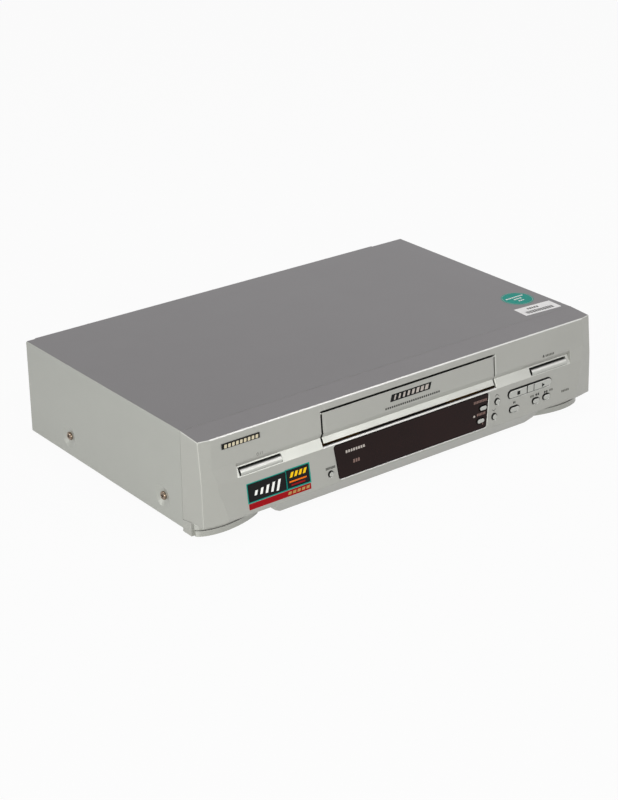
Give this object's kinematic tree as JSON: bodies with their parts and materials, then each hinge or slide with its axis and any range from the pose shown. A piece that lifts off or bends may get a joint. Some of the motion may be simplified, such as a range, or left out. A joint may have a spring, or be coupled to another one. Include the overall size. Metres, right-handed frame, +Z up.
{
  "type": "vhs video cassette recorder",
  "caption": "Low silver video cassette recorder with a hinged cassette flap, smoked display window, push keys and a tape deck inside.",
  "frame": {"origin": "centre of the footprint, on the surface that the feet stand on", "axes": "+X to the right seen from the front, the front faces -Y, +Z up"},
  "size_m": [0.43, 0.2762, 0.088],
  "materials": {
    "cover_paint": "satin grey lacquer with fine grain",
    "fascia_plastic": "silver-painted moulded plastic",
    "smoked_window": "gloss smoked plastic",
    "door_plastic": "silver-painted moulded plastic",
    "button_silver": "bright silver lacquer",
    "badge_chrome": "polished",
    "zinc_steel": "zinc-plated sheet",
    "screw_copper": "bronze passivated",
    "black_plastic": "moulded",
    "rear_black": "black painted sheet",
    "foot_rubber": "moulded",
    "phono_metal": "plated, with coloured inserts",
    "nickel": "nickel plate",
    "circuit_board": "paper laminate with solder mask",
    "component_black": "moulded and sleeved parts",
    "winding": "taped winding and ferrite",
    "heat_aluminium": "extruded",
    "display_glass": "dark glass of the display tube",
    "drum_aluminium": "turned and polished",
    "shaft_steel": "ground",
    "white_gear": "acetal",
    "roller_rubber": "ground",
    "spring_steel": "drawn wire"
  },
  "bodies": {
    "case": {"front_panel": "fascia_plastic", "display_window": "smoked_window", "badge_plate": "badge_chrome", "top_cover": "cover_paint", "bottom_pan": "zinc_steel", "rubber_feet": "foot_rubber", "cover_screws": "screw_copper", "rear_panel": "rear_black", "scart_sockets": "black_plastic", "phono_sockets": "phono_metal", "aerial_sockets": "nickel", "tuner_can": "zinc_steel", "mains_inlet": "black_plastic", "main_board": "circuit_board", "board_parts": "component_black", "power_board": "circuit_board", "power_parts": "component_black", "transformer": "winding", "heat_sink": "heat_aluminium", "front_board": "circuit_board", "display_tube": "display_glass", "deck_plate": "zinc_steel", "loading_axle": "shaft_steel", "loading_motor": "zinc_steel", "lower_drum": "drum_aluminium", "capstan_motor": "zinc_steel", "erase_head": "nickel", "control_head": "nickel", "carriage_frame": "zinc_steel"},
    "door": {"cassette_door": "door_plastic", "door_spring": "spring_steel"},
    "link_key": {"link_button": "button_silver"},
    "channel_up_key": {"channel_up_button": "button_silver"},
    "channel_down_key": {"channel_down_button": "button_silver"},
    "pause_key": {"pause_button": "button_silver"},
    "rewind_key": {"rewind_button": "button_silver"},
    "fast_forward_key": {"fast_forward_button": "button_silver"},
    "stop_key": {"stop_button": "button_silver"},
    "play_key": {"play_button": "button_silver"},
    "timer_key": {"timer_button": "button_silver"},
    "record_key": {"record_button": "button_silver"},
    "power_key": {"power_button": "button_silver"},
    "eject_key": {"eject_button": "button_silver"},
    "yoke": {"carriage_yoke": "zinc_steel"},
    "holder": {"cassette_holder": "zinc_steel"},
    "drum": {"upper_drum": "drum_aluminium"},
    "capstan": {"capstan_rotor": "shaft_steel"},
    "supply_table": {"supply_reel": "black_plastic"},
    "takeup_table": {"takeup_reel": "black_plastic"},
    "idler": {"idler_arm": "zinc_steel"},
    "idler_wheel": {"idler_gear": "white_gear"},
    "pinch": {"pinch_arm": "zinc_steel"},
    "pinch_wheel": {"pinch_roller": "roller_rubber"},
    "tension": {"tension_arm": "zinc_steel"},
    "supply_guide": {"supply_loading_arm": "white_gear"},
    "takeup_guide": {"takeup_loading_arm": "white_gear"},
    "supply_wheel": {"supply_loading_wheel": "white_gear"},
    "takeup_wheel": {"takeup_loading_wheel": "white_gear"},
    "worm_shaft": {"worm": "white_gear"}
  },
  "joints": [
    {"name": "door_swing", "type": "hinge", "parent": "case", "child": "door", "pos_m": [0.0013, -0.1291, 0.0772], "axis": [1, 0, 0], "range_deg": [0, 95], "stiffness_Nm_per_rad": 0.004, "springref_deg": -22.92},
    {"name": "link_key_press", "type": "slide", "parent": "case", "child": "link_key", "axis": [0, 1, 0], "range_m": [0, 0.0012], "stiffness_N_per_m": 400, "springref_m": -0.0005},
    {"name": "channel_up_key_press", "type": "slide", "parent": "case", "child": "channel_up_key", "axis": [0, 1, 0], "range_m": [0, 0.0012], "stiffness_N_per_m": 400, "springref_m": -0.0005},
    {"name": "channel_down_key_press", "type": "slide", "parent": "case", "child": "channel_down_key", "axis": [0, 1, 0], "range_m": [0, 0.0012], "stiffness_N_per_m": 400, "springref_m": -0.0005},
    {"name": "pause_key_press", "type": "slide", "parent": "case", "child": "pause_key", "axis": [0, 1, 0], "range_m": [0, 0.0012], "stiffness_N_per_m": 400, "springref_m": -0.0005},
    {"name": "rewind_key_press", "type": "slide", "parent": "case", "child": "rewind_key", "axis": [0, 1, 0], "range_m": [0, 0.0012], "stiffness_N_per_m": 400, "springref_m": -0.0005},
    {"name": "fast_forward_key_press", "type": "slide", "parent": "case", "child": "fast_forward_key", "axis": [0, 1, 0], "range_m": [0, 0.0012], "stiffness_N_per_m": 400, "springref_m": -0.0005},
    {"name": "stop_key_press", "type": "slide", "parent": "case", "child": "stop_key", "axis": [0, 1, 0], "range_m": [0, 0.0012], "stiffness_N_per_m": 400, "springref_m": -0.0005},
    {"name": "play_key_press", "type": "slide", "parent": "case", "child": "play_key", "axis": [0, 1, 0], "range_m": [0, 0.0012], "stiffness_N_per_m": 400, "springref_m": -0.0005},
    {"name": "timer_key_press", "type": "slide", "parent": "case", "child": "timer_key", "axis": [0, 1, 0], "range_m": [0, 0.0012], "stiffness_N_per_m": 400, "springref_m": -0.0005},
    {"name": "record_key_press", "type": "slide", "parent": "case", "child": "record_key", "axis": [0, 1, 0], "range_m": [0, 0.0012], "stiffness_N_per_m": 400, "springref_m": -0.0005},
    {"name": "power_key_press", "type": "slide", "parent": "case", "child": "power_key", "axis": [0, 1, 0], "range_m": [0, 0.0012], "stiffness_N_per_m": 400, "springref_m": -0.0005},
    {"name": "eject_key_press", "type": "slide", "parent": "case", "child": "eject_key", "axis": [0, 1, 0], "range_m": [0, 0.0012], "stiffness_N_per_m": 400, "springref_m": -0.0005},
    {"name": "carriage_travel", "type": "slide", "parent": "case", "child": "yoke", "axis": [0, 1, 0], "range_m": [0, 0.062]},
    {"name": "holder_drop", "type": "slide", "parent": "yoke", "child": "holder", "axis": [0, 0, -1], "range_m": [0, 0.0228]},
    {"name": "drum_spin", "type": "hinge", "parent": "case", "child": "drum", "pos_m": [0.0013, 0.038, 0.0216], "axis": [0.1028, 0, 0.9947], "continuous": true},
    {"name": "capstan_spin", "type": "hinge", "parent": "case", "child": "capstan", "pos_m": [0.0673, 0.004, 0.02], "axis": [0, 0, 1], "continuous": true},
    {"name": "supply_spin", "type": "hinge", "parent": "case", "child": "supply_table", "pos_m": [-0.0447, -0.056, 0.022], "axis": [0, 0, 1], "continuous": true},
    {"name": "takeup_spin", "type": "hinge", "parent": "case", "child": "takeup_table", "pos_m": [0.0473, -0.056, 0.022], "axis": [0, 0, 1], "continuous": true},
    {"name": "idler_swing", "type": "hinge", "parent": "case", "child": "idler", "pos_m": [0.0013, -0.03, 0.023], "axis": [0, 0, 1], "range_deg": [-21, 21]},
    {"name": "idler_spin", "type": "hinge", "parent": "idler", "child": "idler_wheel", "pos_m": [0.0013, -0.054, 0.021], "axis": [0, 0, 1], "continuous": true},
    {"name": "pinch_swing", "type": "hinge", "parent": "case", "child": "pinch", "pos_m": [0.0933, 0.034, 0.022], "axis": [0, 0, 1], "range_deg": [0, 29]},
    {"name": "pinch_spin", "type": "hinge", "parent": "pinch", "child": "pinch_wheel", "pos_m": [0.06479, 0.02345, 0.033], "axis": [0, 0, 1], "continuous": true},
    {"name": "tension_swing", "type": "hinge", "parent": "case", "child": "tension", "pos_m": [-0.0827, 0.026, 0.022], "axis": [0, 0, 1], "range_deg": [-12, 12], "stiffness_Nm_per_rad": 0.002},
    {"name": "tape_load", "type": "hinge", "parent": "case", "child": "supply_guide", "pos_m": [0.0013, 0.022, 0.014], "axis": [0, 0, -1], "range_deg": [0, 78.3]},
    {"name": "takeup_load", "type": "hinge", "parent": "case", "child": "takeup_guide", "pos_m": [0.0013, 0.022, 0.011], "axis": [0, 0, 1], "range_deg": [0, 78.3]},
    {"name": "supply_wheel_turn", "type": "hinge", "parent": "case", "child": "supply_wheel", "pos_m": [-0.02255, 0.04623, 0.014], "axis": [0, 0, 1], "range_deg": [0, 54.81]},
    {"name": "takeup_wheel_turn", "type": "hinge", "parent": "case", "child": "takeup_wheel", "pos_m": [0.02515, 0.04623, 0.011], "axis": [0, 0, 1], "range_deg": [-54.81, 0]},
    {"name": "worm_turn", "type": "hinge", "parent": "case", "child": "worm_shaft", "pos_m": [0.0013, 0.04623, 0.0125], "axis": [0, 1, 0], "range_deg": [-2192.4, 0]}
  ],
  "couplings": [
    {"joint": "takeup_load", "follows": "tape_load", "ratio": 1},
    {"joint": "supply_wheel_turn", "follows": "tape_load", "ratio": 0.7},
    {"joint": "takeup_wheel_turn", "follows": "tape_load", "ratio": -0.7},
    {"joint": "worm_turn", "follows": "tape_load", "ratio": -28}
  ]
}
